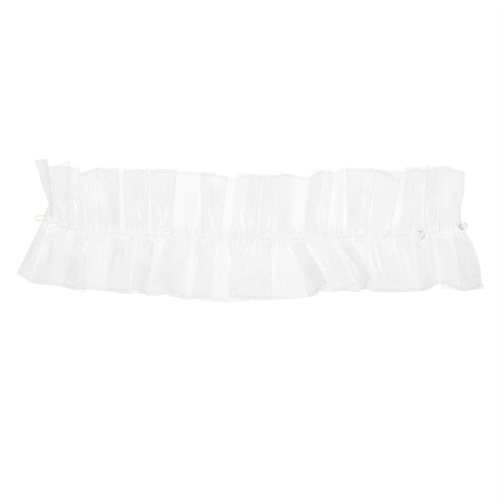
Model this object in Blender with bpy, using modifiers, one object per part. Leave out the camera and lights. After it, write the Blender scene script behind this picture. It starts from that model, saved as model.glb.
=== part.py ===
"""Detachable ruffled collar of sheer organza, laid flat on its back.

One strip of cloth is gathered along a line a little above its middle, so that a ruffle
fans out on each side of the gathers. Both ruffles lie in uneven pleats, each of which
is folded over the next. A thread loop sits at the left end of the gathers, and two
clear buttons at the right end.

X runs along the collar, Y across it, and Z up from the surface that it lies on. The
origin is at the middle of the collar's box, on that surface. Lengths below are in
millimetres and are turned into metres where a mesh is made.
"""

import math
from collections import namedtuple

import bmesh
import bpy
from mathutils import Matrix, Vector

MM = 0.001

# ---------------------------------------------------------------- driving dimensions
CLOTH_THICKNESS = 1.2
FOLD_HEIGHT = 8.0           # from the cloth on the surface to the cloth on top of a pleat
BAND_HEIGHT_SHARE = 0.26    # how much of that height is left where the cloth is gathered
FOLD_ROUND = 2.4            # how far before its edge a pleat starts to turn under
TURN_DROP = 0.24            # share of the fold height lost in such a turn
PANEL_SWELL = 0.09          # how far the middle of a pleat rises, as a share of its height
LONG_RUN = 13.0             # a run of cloth longer than this is cut once more along its length
FOLD_SHARE = 3.5            # what each fold takes up at the gathers beyond its own cloth
COLUMN_SNAP = 0.8           # columns of the two ruffles closer than this are made one
HEIGHT_REACH = 0.62         # share of the way to the hem where a pleat has its full height
HEIGHT_EASE = 0.7           # below 1, a pleat rises fastest close to the gathers

# Rows of the mesh on each ruffle, as shares of the way from the gathers to the hem.
ROWS_TO_HEM = (0.11, 0.26, 0.44, 0.64, 0.84, 1.0)

# The neck: how far each end of the strip is drawn in above the gathers, and how far
# along the collar that reaches.
Neck = namedtuple("Neck", "end_x pull at_share reach")
NECKS = (
    Neck(end_x=-194.5, pull=7.5, at_share=0.34, reach=9.0),
    Neck(end_x=200.0, pull=-2.6, at_share=0.30, reach=14.0),
)

# The line along which the cloth is gathered.
BandPoint = namedtuple("BandPoint", "x y")
BAND_LINE = (
    BandPoint(-194.5, 10.0),
    BandPoint(-178.5, 5.0),
    BandPoint(-160.0, 0.5),
    BandPoint(-141.0, -1.5),
    BandPoint(-94.0, -4.0),
    BandPoint(-47.0, -6.0),
    BandPoint(0.0, -7.0),
    BandPoint(47.0, -7.5),
    BandPoint(94.0, -5.5),
    BandPoint(141.0, -4.0),
    BandPoint(164.5, -2.5),
    BandPoint(183.5, 0.0),
    BandPoint(200.0, 3.0),
)

# The pleats of each ruffle, from left to right. left and right are a pleat's edges at
# the hem, left_y and right_y the hem's place there, and under_y that of the cloth that
# comes out from under its right edge. band_left and band_right are the same edges at
# the gathers. tuck_left and tuck_right say how far the cloth is turned back under an
# edge; 0 is an edge that another pleat covers, or a mere change of the hem's slope.
Pleat = namedtuple(
    "Pleat", "left right left_y right_y under_y band_left band_right tuck_left tuck_right"
)
UPPER_END_HEIGHTS = (0.62, 0.0)     # of the strip's two ends, as shares of the fold height
LOWER_END_HEIGHTS = (0.0, 0.0)
UPPER_PLEATS = (
    Pleat(-202.0, -189.5, 66.5, 67.0, 60.5, -194.5, -186.0, 0.0, 8.0),
    Pleat(-187.5, -169.0, 60.0, 65.5, 60.5, -181.5, -169.0, 0.0, 8.0),
    Pleat(-168.5, -161.0, 60.5, 59.0, 54.5, -165.0, -156.0, 0.0, 4.0),
    Pleat(-157.5, -145.0, 55.0, 59.0, 59.0, -150.5, -140.0, 6.0, 0.0),
    Pleat(-145.0, -124.0, 59.0, 59.0, 55.0, -140.0, -123.5, 0.0, 10.0),
    Pleat(-118.5, -95.5, 57.5, 58.0, 55.5, -117.0, -97.0, 9.5, 9.5),
    Pleat(-92.5, -68.5, 58.0, 57.5, 55.5, -91.0, -73.5, 10.0, 9.5),
    Pleat(-67.0, -48.0, 55.5, 55.0, 55.0, -69.0, -51.0, 0.0, 0.0),
    Pleat(-46.0, -20.5, 55.0, 51.5, 49.0, -46.0, -28.0, 11.0, 9.5),
    Pleat(-12.5, 10.5, 53.5, 53.5, 51.5, -18.0, 3.0, 9.5, 9.5),
    Pleat(13.5, 27.0, 53.0, 52.5, 51.5, 9.5, 22.5, 5.5, 0.0),
    Pleat(28.5, 47.0, 55.0, 51.5, 51.5, 27.5, 40.5, 9.0, 0.0),
    Pleat(47.0, 55.5, 51.5, 52.0, 52.0, 40.5, 49.0, 0.0, 0.0),
    Pleat(58.5, 78.0, 58.0, 56.0, 55.0, 54.5, 71.5, 8.5, 7.5),
    Pleat(78.5, 87.5, 55.0, 58.0, 58.0, 75.0, 85.5, 0.0, 0.0),
    Pleat(89.5, 118.5, 59.0, 58.0, 58.0, 91.0, 109.0, 10.0, 0.0),
    Pleat(118.5, 141.5, 58.0, 48.5, 55.5, 109.0, 131.0, 0.0, 19.0),
    Pleat(146.5, 163.5, 60.5, 59.0, 57.0, 141.0, 155.0, 6.5, 6.5),
    Pleat(166.5, 180.0, 60.5, 60.5, 60.5, 162.0, 177.5, 6.5, 0.0),
    Pleat(180.0, 202.0, 60.5, 55.0, 55.0, 177.5, 200.0, 0.0, 0.0),
)
LOWER_PLEATS = (
    Pleat(-219.0, -207.0, -40.0, -47.0, -47.0, -194.5, -188.0, 0.0, 0.0),
    Pleat(-207.0, -192.0, -47.0, -50.5, -50.5, -188.0, -181.5, 0.0, 7.5),
    Pleat(-191.0, -177.5, -50.5, -52.0, -52.0, -177.5, -166.5, 0.0, 0.0),
    Pleat(-176.0, -154.5, -52.5, -58.0, -55.0, -161.5, -153.0, 8.5, 8.5),
    Pleat(-152.5, -137.0, -55.0, -56.5, -56.5, -148.5, -131.5, 0.0, 0.0),
    Pleat(-135.0, -116.0, -56.5, -58.0, -58.5, -126.0, -114.0, 8.0, 6.5),
    Pleat(-112.5, -97.0, -54.0, -57.0, -58.5, -106.5, -89.0, 6.0, 6.0),
    Pleat(-91.5, -75.0, -48.5, -59.0, -59.0, -78.5, -68.0, 9.0, 0.0),
    Pleat(-75.0, -61.5, -59.0, -62.5, -64.0, -68.0, -56.5, 0.0, 8.5),
    Pleat(-55.5, -35.5, -62.5, -64.0, -67.0, -50.0, -35.0, 8.0, 8.0),
    Pleat(-20.0, -1.0, -62.5, -64.5, -64.5, -20.2, 0.0, 10.5, 0.0),
    Pleat(-1.0, 21.0, -64.5, -65.0, -64.5, 0.0, 19.5, 0.0, 11.0),
    Pleat(22.5, 50.0, -64.5, -63.0, -63.0, 24.0, 31.0, 0.0, 0.0),
    Pleat(55.0, 73.0, -62.0, -49.5, -56.0, 36.0, 50.0, 7.5, 7.0),
    Pleat(77.5, 99.5, -58.0, -51.0, -57.0, 60.5, 72.0, 8.0, 9.0),
    Pleat(103.5, 114.5, -55.0, -46.5, -56.5, 80.5, 92.0, 4.5, 3.5),
    Pleat(120.5, 141.5, -57.0, -55.0, -57.0, 113.0, 132.5, 5.5, 7.0),
    Pleat(143.5, 156.5, -56.5, -56.0, -56.0, 137.0, 148.5, 0.0, 6.0),
    Pleat(160.5, 176.0, -56.5, -51.0, -50.0, 154.0, 168.5, 5.5, 6.5),
    Pleat(180.0, 198.5, -54.5, -56.5, -56.5, 174.5, 185.0, 8.0, 0.0),
    Pleat(199.5, 219.0, -56.5, -51.0, -51.0, 188.0, 200.0, 6.5, 0.0),
)

# The thread loop at the left end.
LOOP_CORD = 1.1
LOOP_LENGTH = 10.5
LOOP_WIDTH = 4.2            # between the middles of its two legs
LOOP_TIP = Vector((-201.6, 11.6, 0.0))
LOOP_TILT = math.radians(4.0)
LOOP_REST_Z = 0.65
LOOP_SEAT_Z = 4.4
LOOP_RISE_EASE = 0.8
LOOP_STEPS = 12             # of the round turn
LOOP_LEG_STEPS = 4

# The clear buttons, which are alike.
BUTTON_DIAMETER = 8.5
BUTTON_HEIGHT = 3.6
BUTTON_SIDES = 12
BUTTON_TABLE = 4.7          # across the flat on top
BUTTON_BACK = 6.8           # across the flat underside
BUTTON_GIRDLE = 0.8         # height of the upright edge
BUTTON_BACK_RISE = 0.75     # from the underside up to that edge
SHANK_DIAMETER = 2.6
SHANK_HEIGHT = 0.9
END_BUTTON_PLACE = Vector((200.2, 4.5, 1.7))
INNER_BUTTON_PLACE = Vector((160.0, -4.5, 3.9))


# ---------------------------------------------------------------- scene and materials
def clear_scene():
    for thing in list(bpy.data.objects):
        bpy.data.objects.remove(thing, do_unlink=True)


def make_collection(name):
    collection = bpy.data.collections.new(name)
    bpy.context.scene.collection.children.link(collection)
    return collection


def make_material(name, colour, roughness, alpha):
    material = bpy.data.materials.new(name)
    material.use_nodes = True
    shader = material.node_tree.nodes["Principled BSDF"]
    shader.inputs["Base Color"].default_value = (*colour, 1.0)
    shader.inputs["Roughness"].default_value = roughness
    shader.inputs["Metallic"].default_value = 0.0
    shader.inputs["Alpha"].default_value = alpha
    return material


def add_object(name, data, collection, material):
    thing = bpy.data.objects.new(name, data)
    thing.data.materials.append(material)
    collection.objects.link(thing)
    return thing


# ---------------------------------------------------------------- the ruffled strip
def mix(start, end, share):
    return start + (end - start) * share


def value_at(stations, x):
    """Read a row of (x, value) stations at x, straight from one to the next."""
    if x <= stations[0][0]:
        return stations[0][1]
    for (x0, v0), (x1, v1) in zip(stations, stations[1:]):
        if x <= x1:
            return mix(v0, v1, (x - x0) / (x1 - x0)) if x1 > x0 else v1
    return stations[-1][1]


def band_y(x):
    return value_at(BAND_LINE, x)


# A corner of the hem: its place, its height as a share of FOLD_HEIGHT, and the place on
# the gathers that it is drawn to, or None where that follows from its neighbours.
Corner = namedtuple("Corner", "x y height band")


def edge_corners(pleat, following):
    """The hem's corners where one pleat gives way to the next."""
    low_turn = TURN_DROP
    high_turn = 1.0 - TURN_DROP
    back = pleat.right - pleat.tuck_right
    ahead = following.left + following.tuck_left
    turn_under = [
        Corner(pleat.right - FOLD_ROUND, pleat.right_y, 1.0, None),
        Corner(pleat.right, pleat.right_y, high_turn, pleat.band_right),
    ]
    turn_over = [
        Corner(following.left, following.left_y, high_turn, following.band_left),
        Corner(following.left + FOLD_ROUND, following.left_y, 1.0, None),
    ]
    if pleat.tuck_right and following.tuck_left:
        return turn_under + [
            Corner(back, pleat.under_y, low_turn, None),
            Corner(back + FOLD_ROUND, pleat.under_y, 0.0, None),
            Corner(ahead - FOLD_ROUND, pleat.under_y, 0.0, None),
            Corner(ahead, pleat.under_y, low_turn, None),
        ] + turn_over
    if following.tuck_left:
        return [
            Corner(pleat.right, pleat.right_y, 0.0, pleat.band_right),
            Corner(ahead - FOLD_ROUND, pleat.under_y, 0.0, None),
            Corner(ahead, pleat.under_y, low_turn, None),
        ] + turn_over
    if pleat.tuck_right:
        return turn_under + [
            Corner(back, following.left_y, low_turn, None),
            Corner(back + FOLD_ROUND, following.left_y, 0.0, None),
            Corner(following.left, following.left_y, 0.0, following.band_left),
        ]
    return [Corner(pleat.right, pleat.right_y, None, pleat.band_right)]


def fill_missing(corners, field):
    """Give corners without a value one in proportion to the cloth between them."""
    along = [0.0]
    for before, after in zip(corners, corners[1:]):
        step = math.hypot(after.x - before.x, after.y - before.y)
        along.append(along[-1] + step + FOLD_SHARE)
    known = [
        (along[i], getattr(corner, field))
        for i, corner in enumerate(corners)
        if getattr(corner, field) is not None
    ]
    return [
        corner._replace(**{field: value_at(known, along[i])})
        for i, corner in enumerate(corners)
    ]


def split_long_runs(corners):
    """Cut each long run of cloth once more, and let it swell a little there."""
    result = [corners[0]]
    for before, after in zip(corners, corners[1:]):
        if abs(after.x - before.x) > LONG_RUN:
            middle = [mix(a, b, 0.5) for a, b in zip(before, after)]
            middle[2] += PANEL_SWELL * middle[2]
            result.append(Corner(*middle))
        result.append(after)
    return result


def hem_corners(pleats, end_heights):
    first = pleats[0]
    last = pleats[-1]
    corners = [Corner(first.left, first.left_y, end_heights[0], first.band_left)]
    for pleat, following in zip(pleats, pleats[1:]):
        corners += edge_corners(pleat, following)
    corners.append(Corner(last.right, last.right_y, end_heights[1], last.band_right))
    corners = fill_missing(corners, "height")
    corners = fill_missing(corners, "band")
    return split_long_runs(corners)


def neck_pull(band_x, share):
    """How far the cloth is drawn in along X beside the ends of the upper ruffle."""
    pull = 0.0
    for neck in NECKS:
        beside = math.exp(-abs(band_x - neck.end_x) / neck.reach)
        off = (share - neck.at_share) / neck.at_share
        pull += neck.pull * beside * max(0.0, 1.0 - off * off)
    return pull


def share_columns(upper, lower):
    """Move corners of the lower hem that lie almost under one of the upper hem onto it."""
    free = [corner.band for corner in upper]
    moved = []
    for corner in lower:
        nearest = min(free, key=lambda band: abs(band - corner.band))
        if abs(nearest - corner.band) < COLUMN_SNAP:
            free.remove(nearest)
            corner = corner._replace(band=nearest)
        moved.append(corner)
    return moved


def column_points(band_x, upper, lower):
    """The points of one column, from the upper hem over the gathers to the lower hem."""
    hems = []
    for corners in (upper, lower):
        hems.append([
            value_at([(corner.band, corner[i]) for corner in corners], band_x)
            for i in range(3)
        ])
    rest = CLOTH_THICKNESS / 2
    band_height = BAND_HEIGHT_SHARE * (hems[0][2] + hems[1][2]) / 2
    middle = Vector((band_x, band_y(band_x), rest + FOLD_HEIGHT * band_height))

    def on_ruffle(hem, share, pulled):
        risen = min(1.0, share / HEIGHT_REACH) ** HEIGHT_EASE
        height = mix(band_height, hem[2], risen)
        x = mix(band_x, hem[0], share)
        if pulled:
            x += neck_pull(band_x, share)
        return Vector((x, mix(middle.y, hem[1], share), rest + FOLD_HEIGHT * height))

    above = [on_ruffle(hems[0], share, True) for share in reversed(ROWS_TO_HEM)]
    below = [on_ruffle(hems[1], share, False) for share in ROWS_TO_HEM]
    return above + [middle] + below


def make_ruffle(collection):
    upper = hem_corners(UPPER_PLEATS, UPPER_END_HEIGHTS)
    lower = share_columns(upper, hem_corners(LOWER_PLEATS, LOWER_END_HEIGHTS))
    columns = sorted({corner.band for corner in upper + lower})
    rows = 2 * len(ROWS_TO_HEM) + 1
    shape = bmesh.new()
    bmesh.ops.create_grid(shape, x_segments=len(columns) - 1, y_segments=rows - 1, size=1.0)
    shape.verts.ensure_lookup_table()
    for i, band_x in enumerate(columns):
        for j, point in enumerate(column_points(band_x, upper, lower)):
            shape.verts[(rows - 1 - j) * len(columns) + i].co = point * MM
    mesh = bpy.data.meshes.new("ruffle")
    shape.to_mesh(mesh)
    shape.free()
    material = make_material("organza", (0.93, 0.93, 0.92), 0.55, 0.55)
    ruffle = add_object("ruffle", mesh, collection, material)
    solid = ruffle.modifiers.new("thickness", "SOLIDIFY")
    solid.thickness = CLOTH_THICKNESS * MM
    solid.offset = 0.0
    return ruffle


# ---------------------------------------------------------------- loop and buttons
def make_loop(collection):
    """A thread loop: two legs sewn on top of the gathers and a round turn beyond them."""
    radius = LOOP_WIDTH / 2
    leg = LOOP_LENGTH - radius
    shares = [1.0 - i / LOOP_LEG_STEPS for i in range(LOOP_LEG_STEPS)]
    turn = []
    for i in range(LOOP_STEPS + 1):
        angle = math.pi * i / LOOP_STEPS
        turn.append((-math.sin(angle) * radius, math.cos(angle) * radius))
    out = [(leg * share, radius) for share in shares]
    home = [(leg * share, -radius) for share in reversed(shares)]
    flat = out + turn + home
    curve = bpy.data.curves.new("button_loop", "CURVE")
    curve.dimensions = "3D"
    curve.bevel_depth = LOOP_CORD / 2 * MM
    curve.bevel_resolution = 2
    curve.use_fill_caps = True
    spline = curve.splines.new("POLY")
    spline.points.add(len(flat) - 1)
    for point, (x, y) in zip(spline.points, flat):
        rise = max(0.0, x / leg) ** LOOP_RISE_EASE
        z = mix(LOOP_REST_Z, LOOP_SEAT_Z, rise)
        across = Matrix.Rotation(LOOP_TILT, 2) @ Vector((x, y))
        place = Vector((LOOP_TIP.x + radius + across.x, LOOP_TIP.y + across.y, z))
        point.co = (*(place * MM), 1.0)
    material = make_material("loop_thread", (0.9, 0.9, 0.89), 0.6, 1.0)
    return add_object("button_loop", curve, collection, material)


def make_button(name, place, collection, material):
    """A round clear button with a flat top, sloping facets and a short shank."""
    edge = SHANK_HEIGHT + BUTTON_BACK_RISE
    levels = (
        (SHANK_DIAMETER, 0.0),
        (SHANK_DIAMETER, SHANK_HEIGHT),
        (BUTTON_BACK, SHANK_HEIGHT),
        (BUTTON_DIAMETER, edge),
        (BUTTON_DIAMETER, edge + BUTTON_GIRDLE),
        (BUTTON_TABLE, BUTTON_HEIGHT),
    )
    shape = bmesh.new()
    rings = []
    for width, height in levels:
        ring = bmesh.ops.create_circle(shape, segments=BUTTON_SIDES, radius=width / 2 * MM)
        for vert in ring["verts"]:
            vert.co.z = height * MM
        rings.append(ring["verts"])
    for lower, upper in zip(rings, rings[1:]):
        edges = [e for e in shape.edges if all(v in lower or v in upper for v in e.verts)]
        bmesh.ops.bridge_loops(shape, edges=edges)
    bmesh.ops.contextual_create(shape, geom=rings[0])
    bmesh.ops.contextual_create(shape, geom=rings[-1])
    bmesh.ops.recalc_face_normals(shape, faces=shape.faces)
    mesh = bpy.data.meshes.new(name)
    shape.to_mesh(mesh)
    shape.free()
    button = add_object(name, mesh, collection, material)
    button.location = place * MM
    return button


def main():
    clear_scene()
    collar = make_collection("ruffled_collar")
    make_ruffle(collar)
    make_loop(collar)
    clear_plastic = make_material("clear_plastic", (0.95, 0.95, 0.95), 0.05, 0.35)
    make_button("end_button", END_BUTTON_PLACE, collar, clear_plastic)
    make_button("inner_button", INNER_BUTTON_PLACE, collar, clear_plastic)


main()
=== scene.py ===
import math
from collections import namedtuple

import bmesh
import bpy
import numpy as np
from mathutils import Matrix, Vector


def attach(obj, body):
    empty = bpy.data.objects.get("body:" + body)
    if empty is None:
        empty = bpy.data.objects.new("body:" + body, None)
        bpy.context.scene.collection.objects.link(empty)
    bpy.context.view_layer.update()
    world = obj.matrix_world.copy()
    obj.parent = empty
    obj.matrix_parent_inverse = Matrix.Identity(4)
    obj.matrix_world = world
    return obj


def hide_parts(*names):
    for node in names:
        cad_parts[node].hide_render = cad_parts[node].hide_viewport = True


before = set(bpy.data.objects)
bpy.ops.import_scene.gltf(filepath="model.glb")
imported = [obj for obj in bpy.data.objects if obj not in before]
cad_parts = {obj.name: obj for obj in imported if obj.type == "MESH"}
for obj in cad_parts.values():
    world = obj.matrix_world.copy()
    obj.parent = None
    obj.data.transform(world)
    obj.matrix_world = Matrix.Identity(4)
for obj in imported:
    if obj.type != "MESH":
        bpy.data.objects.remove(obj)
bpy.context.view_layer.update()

# ---------------------------------------------------------------- the pleats of the strip
# One straight strip of sheer white organza, cut about 1.2 m long and 0.125 m wide. It is gathered
# along a seam a little above its middle, so a ruffle fans out on each side of the gathers, and
# each ruffle lies in uneven pleats that fold over one another. Sizes here are in millimetres.
MM = 0.001
FOLD_HEIGHT = 8.0           # from the cloth on the table to the cloth on top of a pleat
CLOTH_REST = 0.6            # height of the lowest cloth
BAND_HEIGHT_SHARE = 0.26    # how much of the fold height is left at the gathers
FOLD_ROUND = 2.4            # how far before its edge a pleat starts to turn under
TURN_DROP = 0.24            # share of the fold height lost in such a turn
FOLD_SHARE = 3.5            # what each fold takes up at the gathers beyond its own cloth
PANEL_SWELL = 0.09          # rise of the middle of a pleat, as a share of the fold height
LONG_RUN = 13.0             # a run of cloth longer than this swells
HEIGHT_REACH = 0.62         # share of the way to the hem where a pleat has its full height
HEIGHT_CURVE = 1.7          # above 1, a pleat rises fastest close to the gathers
TUCK_CURVE = 90.0           # above 1, a tuck reaches its depth close to the gathers
PLY_EDGE = 0.12             # half the step from the plies of a pleat to those of its tucks
FOLD_PLIES = 0.3            # more of them where the cloth rounds a pleat's edge
TUCK_PLIES = 0.3            # of the cloth turned back under a pleat
UNDER_SAG = 0.1             # how far towards under_y the hem gets while a pleat still hides it
UNDER_SHOWS = 0.6           # the same where under_y is further out than the pleat's own hem
UNDER_FOLD = 0.38           # share of its plies where the cloth under a pleat turns back

GATHER_LINE = (
    (-194.5, 10.0), (-178.5, 5.0), (-160.0, 0.5), (-141.0, -1.5), (-94.0, -4.0), (-47.0, -6.0),
    (0.0, -7.0), (47.0, -7.5), (94.0, -5.5), (141.0, -4.0), (164.5, -2.5), (183.5, 0.0), (200.0, 3.0),
)
STRIP_START, STRIP_END = GATHER_LINE[0][0], GATHER_LINE[-1][0]

# left and right are a pleat's edges at the hem, left_y and right_y the hem's place there, and
# under_y that of the cloth that comes out from under its right edge. band_left and band_right
# are the edges at the gathers, and tuck_left and tuck_right how far the cloth is turned back
# under them; 0 is an edge that another pleat covers, or a mere change of the hem's slope.
# plies says how many layers of fine gathers lie on one another in the pleat's own face, and
# between in the cloth that runs under its right edge to the next pleat.
Pleat = namedtuple(
    "Pleat",
    "left right left_y right_y under_y band_left band_right tuck_left tuck_right plies between",
)
UPPER_ENDS = (0.62, 0.0)    # heights of the strip's two ends, as shares of the fold height
LOWER_ENDS = (0.0, 0.0)
UPPER_PLEATS = (
    Pleat(-202.0, -189.5, 66.5, 67.0, 60.5, -194.5, -186.0, 0.0, 7.0, 3.9, 2.6),
    Pleat(-187.5, -169.0, 60.0, 65.5, 60.5, -181.5, -169.0, 0.0, 19.7, 0.8, 3.0),
    Pleat(-168.5, -159.5, 60.5, 59.0, 54.5, -165.0, -154.5, 0.0, 10.2, 1.0, 2.6),
    Pleat(-157.9, -145.0, 55.0, 59.0, 59.0, -151.5, -140.0, 14.5, 0.0, 0.6, 1.0),
    Pleat(-145.0, -122.8, 59.0, 59.0, 55.0, -140.0, -122.5, 0.0, 23.4, 1.8, 1.8),
    Pleat(-118.9, -94.2, 57.5, 58.0, 55.5, -117.5, -96.0, 13.6, 13.5, 1.6, 1.9),
    Pleat(-93.1, -68.5, 58.0, 57.5, 55.5, -92.0, -73.5, 13.5, 13.5, 1.3, 1.5),
    Pleat(-67.0, -47.6, 55.5, 55.0, 55.0, -69.0, -51.0, 0.0, 0.0, 1.7, 2.0),
    Pleat(-46.0, -20.5, 55.0, 51.5, 49.0, -46.0, -28.0, 13.9, 14.0, 1.0, 1.2),
    Pleat(-12.5, 11.9, 53.5, 53.5, 51.5, -18.0, 4.5, 13.4, 13.4, 0.8, 2.6),
    Pleat(12.9, 26.9, 53.0, 52.5, 51.5, 8.5, 22.5, 15.2, 0.0, 0.6, 2.6),
    Pleat(27.9, 38.5, 55.0, 53.5, 51.5, 26.0, 38.5, 11.8, 0.0, 0.5, 1.2),
    Pleat(38.5, 55.5, 53.5, 50.5, 52.0, 38.5, 49.0, 0.0, 0.0, 1.4, 3.0),
    Pleat(58.5, 78.0, 58.0, 56.0, 55.0, 50.5, 71.5, 10.9, 11.0, 0.5, 2.0),
    Pleat(78.5, 88.6, 55.0, 58.0, 58.0, 72.5, 88.5, 0.0, 0.0, 2.1, 1.2),
    Pleat(89.8, 118.5, 59.0, 58.0, 58.0, 91.0, 109.0, 29.9, 0.0, 1.6, 1.0),
    Pleat(118.5, 141.5, 58.0, 48.5, 55.5, 109.0, 131.0, 0.0, 24.2, 0.5, 2.4),
    Pleat(146.5, 164.2, 60.5, 59.0, 57.0, 141.0, 160.0, 10.0, 10.1, 1.0, 2.7),
    Pleat(165.2, 180.0, 60.5, 60.5, 60.5, 162.0, 177.5, 16.0, 0.0, 1.6, 2.0),
    Pleat(180.0, 202.0, 60.5, 55.0, 55.0, 177.5, 200.0, 0.0, 0.0, 3.5, 1.0),
)
LOWER_PLEATS = (
    Pleat(-219.0, -207.0, -40.0, -47.0, -47.0, -194.5, -188.0, 0.0, 0.0, 4.8, 2.0),
    Pleat(-207.0, -192.0, -47.0, -50.5, -50.5, -188.0, -181.5, 0.0, 16.2, 0.8, 3.8),
    Pleat(-191.0, -177.5, -50.5, -52.0, -52.0, -177.5, -166.5, 0.0, 0.0, 4.3, 4.0),
    Pleat(-176.0, -154.5, -52.5, -58.0, -55.0, -161.5, -153.0, 11.9, 12.0, 0.7, 3.7),
    Pleat(-152.5, -137.0, -55.0, -56.5, -56.5, -148.5, -131.5, 0.0, 0.0, 3.4, 3.8),
    Pleat(-135.0, -114.5, -56.5, -58.0, -59.3, -126.0, -110.0, 11.4, 11.5, 0.8, 3.2),
    Pleat(-112.0, -97.0, -54.0, -58.0, -61.0, -103.5, -89.0, 8.7, 8.7, 1.5, 3.5),
    Pleat(-91.5, -75.0, -48.5, -57.2, -62.0, -78.5, -68.0, 17.7, 0.0, 0.5, 1.0),
    Pleat(-75.0, -61.5, -57.2, -62.5, -64.5, -68.0, -56.5, 0.0, 14.7, 0.7, 3.0),
    Pleat(-55.5, -35.5, -62.0, -62.4, -67.0, -50.0, -35.0, 11.2, 11.2, 0.9, 2.3),
    Pleat(-20.0, -1.0, -62.0, -63.5, -65.0, -20.2, 0.0, 20.2, 0.0, 1.4, 1.0),
    Pleat(-1.0, 21.0, -63.5, -65.3, -65.5, 0.0, 19.5, 0.0, 23.2, 1.5, 1.7),
    Pleat(22.5, 50.0, -64.5, -63.0, -63.0, 24.0, 31.0, 0.0, 0.0, 2.3, 2.3),
    Pleat(55.0, 73.0, -62.0, -49.5, -57.0, 36.0, 50.0, 10.2, 10.2, 2.0, 2.8),
    Pleat(77.5, 99.5, -58.0, -51.0, -57.5, 60.5, 72.0, 12.2, 12.2, 0.4, 3.3),
    Pleat(103.5, 114.5, -55.0, -46.5, -57.3, 80.5, 92.0, 6.7, 6.7, 1.2, 3.6),
    Pleat(120.5, 141.5, -57.3, -57.3, -58.0, 113.0, 132.5, 11.7, 11.7, 0.7, 3.2),
    Pleat(143.5, 156.5, -57.5, -57.0, -56.8, 137.0, 148.5, 0.0, 14.2, 0.2, 3.8),
    Pleat(160.5, 176.0, -56.8, -51.0, -50.0, 154.0, 168.5, 8.9, 9.0, 0.9, 3.2),
    Pleat(180.0, 198.5, -54.3, -56.5, -56.5, 174.5, 185.0, 19.7, 0.0, 0.5, 3.6),
    Pleat(199.5, 219.0, -56.5, -51.5, -51.5, 188.0, 200.0, 20.7, 0.0, 1.8, 1.0),
)

# A bend in one of the strip's ends, the first or the last: how far the end is pulled along X, at
# what share of the way from the gathers to the hem, the share over which that fades beyond there,
# the power of its curve, which is sharp below 1, and how far along the strip the pull reaches.
Bend = namedtuple("Bend", "end pull at_share fade curve reach")
UPPER_BENDS = (
    Bend(end=0, pull=7.8, at_share=0.27, fade=0.73, curve=0.85, reach=9.0),
    Bend(end=-1, pull=-2.6, at_share=0.30, fade=0.30, curve=2.0, reach=14.0),
)
LOWER_BENDS = (
    Bend(end=-1, pull=4.3, at_share=0.45, fade=0.45, curve=2.0, reach=14.0),
)

# A corner of a ruffle: the pleat edge that it goes with, at the hem and at the gathers, how much
# narrower that pleat is at the gathers, the plies of the cloth after it, how far it is turned
# back from the edge at the hem, and its hem's place, height and place on the gathers.
Corner = namedtuple("Corner", "edge_x edge_band narrow plies turn y height band")


def mix(start, end, share):
    return start + (end - start) * share


def through(knots, values, at):
    """A smooth curve through the values at the knots, which never swings past them."""
    knots = np.asarray(knots, float)
    values = np.asarray(values, float)
    span = np.diff(knots).reshape(-1, *[1] * (values.ndim - 1))
    rise = np.diff(values, axis=0) / span
    before, after = 2 * span[1:] + span[:-1], span[1:] + 2 * span[:-1]
    turning = rise[:-1] * rise[1:] <= 0
    safe = np.where(turning, 1.0, rise[:-1]), np.where(turning, 1.0, rise[1:])
    inner = np.where(turning, 0.0, (before + after) / (before / safe[0] + after / safe[1]))
    slope = np.concatenate([rise[:1], inner, rise[-1:]])
    i = np.clip(np.searchsorted(knots, at, side="right") - 1, 0, len(knots) - 2)
    u = ((at - knots[i]) / np.diff(knots)[i]).reshape(-1, *[1] * (values.ndim - 1))
    steady = values[i] * (1 + 2 * u) * (1 - u) ** 2 + values[i + 1] * u * u * (3 - 2 * u)
    return steady + span[i] * (slope[i] * u * (1 - u) ** 2 - slope[i + 1] * u * u * (1 - u))


def gather_y(x):
    line = np.array(GATHER_LINE)
    return through(line[:, 0], line[:, 1], x)


def narrowing(pleat):
    return (pleat.band_right - pleat.band_left) / (pleat.right - pleat.left)


def hem_under(pleat, share, under_y):
    """Where the hem of the cloth under a pleat has got to at a share of the pleat's width."""
    pleat_y = mix(pleat.left_y, pleat.right_y, min(1.0, max(0.0, share)))
    return mix(pleat_y, under_y, UNDER_SHOWS if abs(under_y) > abs(pleat_y) else UNDER_SAG)


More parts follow.
